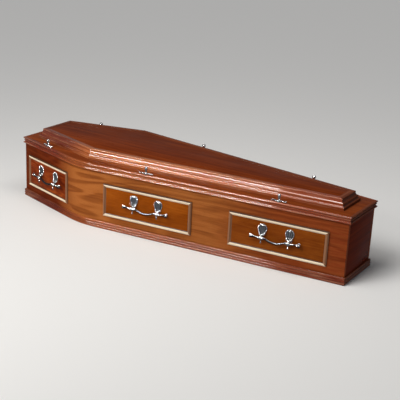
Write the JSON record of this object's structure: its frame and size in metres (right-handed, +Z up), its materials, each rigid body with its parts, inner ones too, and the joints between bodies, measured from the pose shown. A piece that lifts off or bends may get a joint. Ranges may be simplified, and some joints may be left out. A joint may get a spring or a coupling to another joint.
{
  "type": "wooden coffin",
  "caption": "Six-sided wooden coffin with bent shoulders, framed side panels, swinging bar handles and a stepped, raised lid that lifts off.",
  "frame": {"origin": "on the floor, below the middle of the lid's length and width", "axes": "+X from the head to the foot, +Z up, and the near side faces -Y"},
  "size_m": [1.96, 0.6324, 0.3893],
  "materials": {
    "side_wood": "stained veneer under satin lacquer",
    "moulding_wood": "stained moulding under gloss lacquer",
    "top_wood": "dark stained veneer under gloss lacquer",
    "burr_veneer": "figured veneer under gloss lacquer",
    "frame_maple": "pale moulding under satin lacquer",
    "chrome_fittings": "bright plated casting"
  },
  "bodies": {
    "coffin": {"base_board": "side_wood", "side_board_near": "side_wood", "side_board_far": "side_wood", "head_board": "side_wood", "foot_board": "side_wood", "plinth_near": "moulding_wood", "plinth_far": "moulding_wood", "plinth_head": "moulding_wood", "plinth_foot": "moulding_wood", "lid_board": "moulding_wood", "lid_edge_near": "moulding_wood", "lid_edge_far": "moulding_wood", "lid_edge_head": "moulding_wood", "lid_edge_foot": "moulding_wood", "lid_frame_near_short": "moulding_wood", "lid_frame_near_long": "moulding_wood", "lid_frame_foot": "moulding_wood", "lid_frame_far_long": "moulding_wood", "lid_frame_far_short": "moulding_wood", "lid_frame_head": "moulding_wood", "top_panel": "top_wood", "panel_near_1": "burr_veneer", "panel_frame_near_1": "frame_maple", "handle_plate_near_1_head": "chrome_fittings", "handle_plate_near_1_foot": "chrome_fittings", "lid_screw_near_1": "chrome_fittings", "panel_near_2": "burr_veneer", "panel_frame_near_2": "frame_maple", "handle_plate_near_2_head": "chrome_fittings", "handle_plate_near_2_foot": "chrome_fittings", "lid_screw_near_2": "chrome_fittings", "panel_near_3": "burr_veneer", "panel_frame_near_3": "frame_maple", "handle_plate_near_3_head": "chrome_fittings", "handle_plate_near_3_foot": "chrome_fittings", "lid_screw_near_3": "chrome_fittings", "panel_far_1": "burr_veneer", "panel_frame_far_1": "frame_maple", "handle_plate_far_1_head": "chrome_fittings", "handle_plate_far_1_foot": "chrome_fittings", "lid_screw_far_1": "chrome_fittings", "panel_far_2": "burr_veneer", "panel_frame_far_2": "frame_maple", "handle_plate_far_2_head": "chrome_fittings", "handle_plate_far_2_foot": "chrome_fittings", "lid_screw_far_2": "chrome_fittings", "panel_far_3": "burr_veneer", "panel_frame_far_3": "frame_maple", "handle_plate_far_3_head": "chrome_fittings", "handle_plate_far_3_foot": "chrome_fittings", "lid_screw_far_3": "chrome_fittings"},
    "handle_near_1": {"handle_bar_near_1": "chrome_fittings"},
    "handle_near_2": {"handle_bar_near_2": "chrome_fittings"},
    "handle_near_3": {"handle_bar_near_3": "chrome_fittings"},
    "handle_far_1": {"handle_bar_far_1": "chrome_fittings"},
    "handle_far_2": {"handle_bar_far_2": "chrome_fittings"},
    "handle_far_3": {"handle_bar_far_3": "chrome_fittings"}
  },
  "joints": [
    {"name": "swing_near_1", "type": "hinge", "parent": "coffin", "child": "handle_near_1", "pos_m": [-0.74766, -0.25523, 0.152], "axis": [-0.9625, 0.2713, 0], "range_deg": [0, 95]},
    {"name": "swing_far_1", "type": "hinge", "parent": "coffin", "child": "handle_far_1", "pos_m": [-0.74766, 0.25523, 0.152], "axis": [0.9625, 0.2713, 0], "range_deg": [0, 95]},
    {"name": "swing_near_2", "type": "hinge", "parent": "coffin", "child": "handle_near_2", "pos_m": [-0.06697, -0.28826, 0.152], "axis": [-0.993, -0.1184, 0], "range_deg": [0, 95]},
    {"name": "swing_far_2", "type": "hinge", "parent": "coffin", "child": "handle_far_2", "pos_m": [-0.06697, 0.28826, 0.152], "axis": [0.993, -0.1184, 0], "range_deg": [0, 95]},
    {"name": "swing_near_3", "type": "hinge", "parent": "coffin", "child": "handle_near_3", "pos_m": [0.62907, -0.20524, 0.152], "axis": [-0.993, -0.1184, 0], "range_deg": [0, 95]},
    {"name": "swing_far_3", "type": "hinge", "parent": "coffin", "child": "handle_far_3", "pos_m": [0.62907, 0.20524, 0.152], "axis": [0.993, -0.1184, 0], "range_deg": [0, 95]}
  ]
}
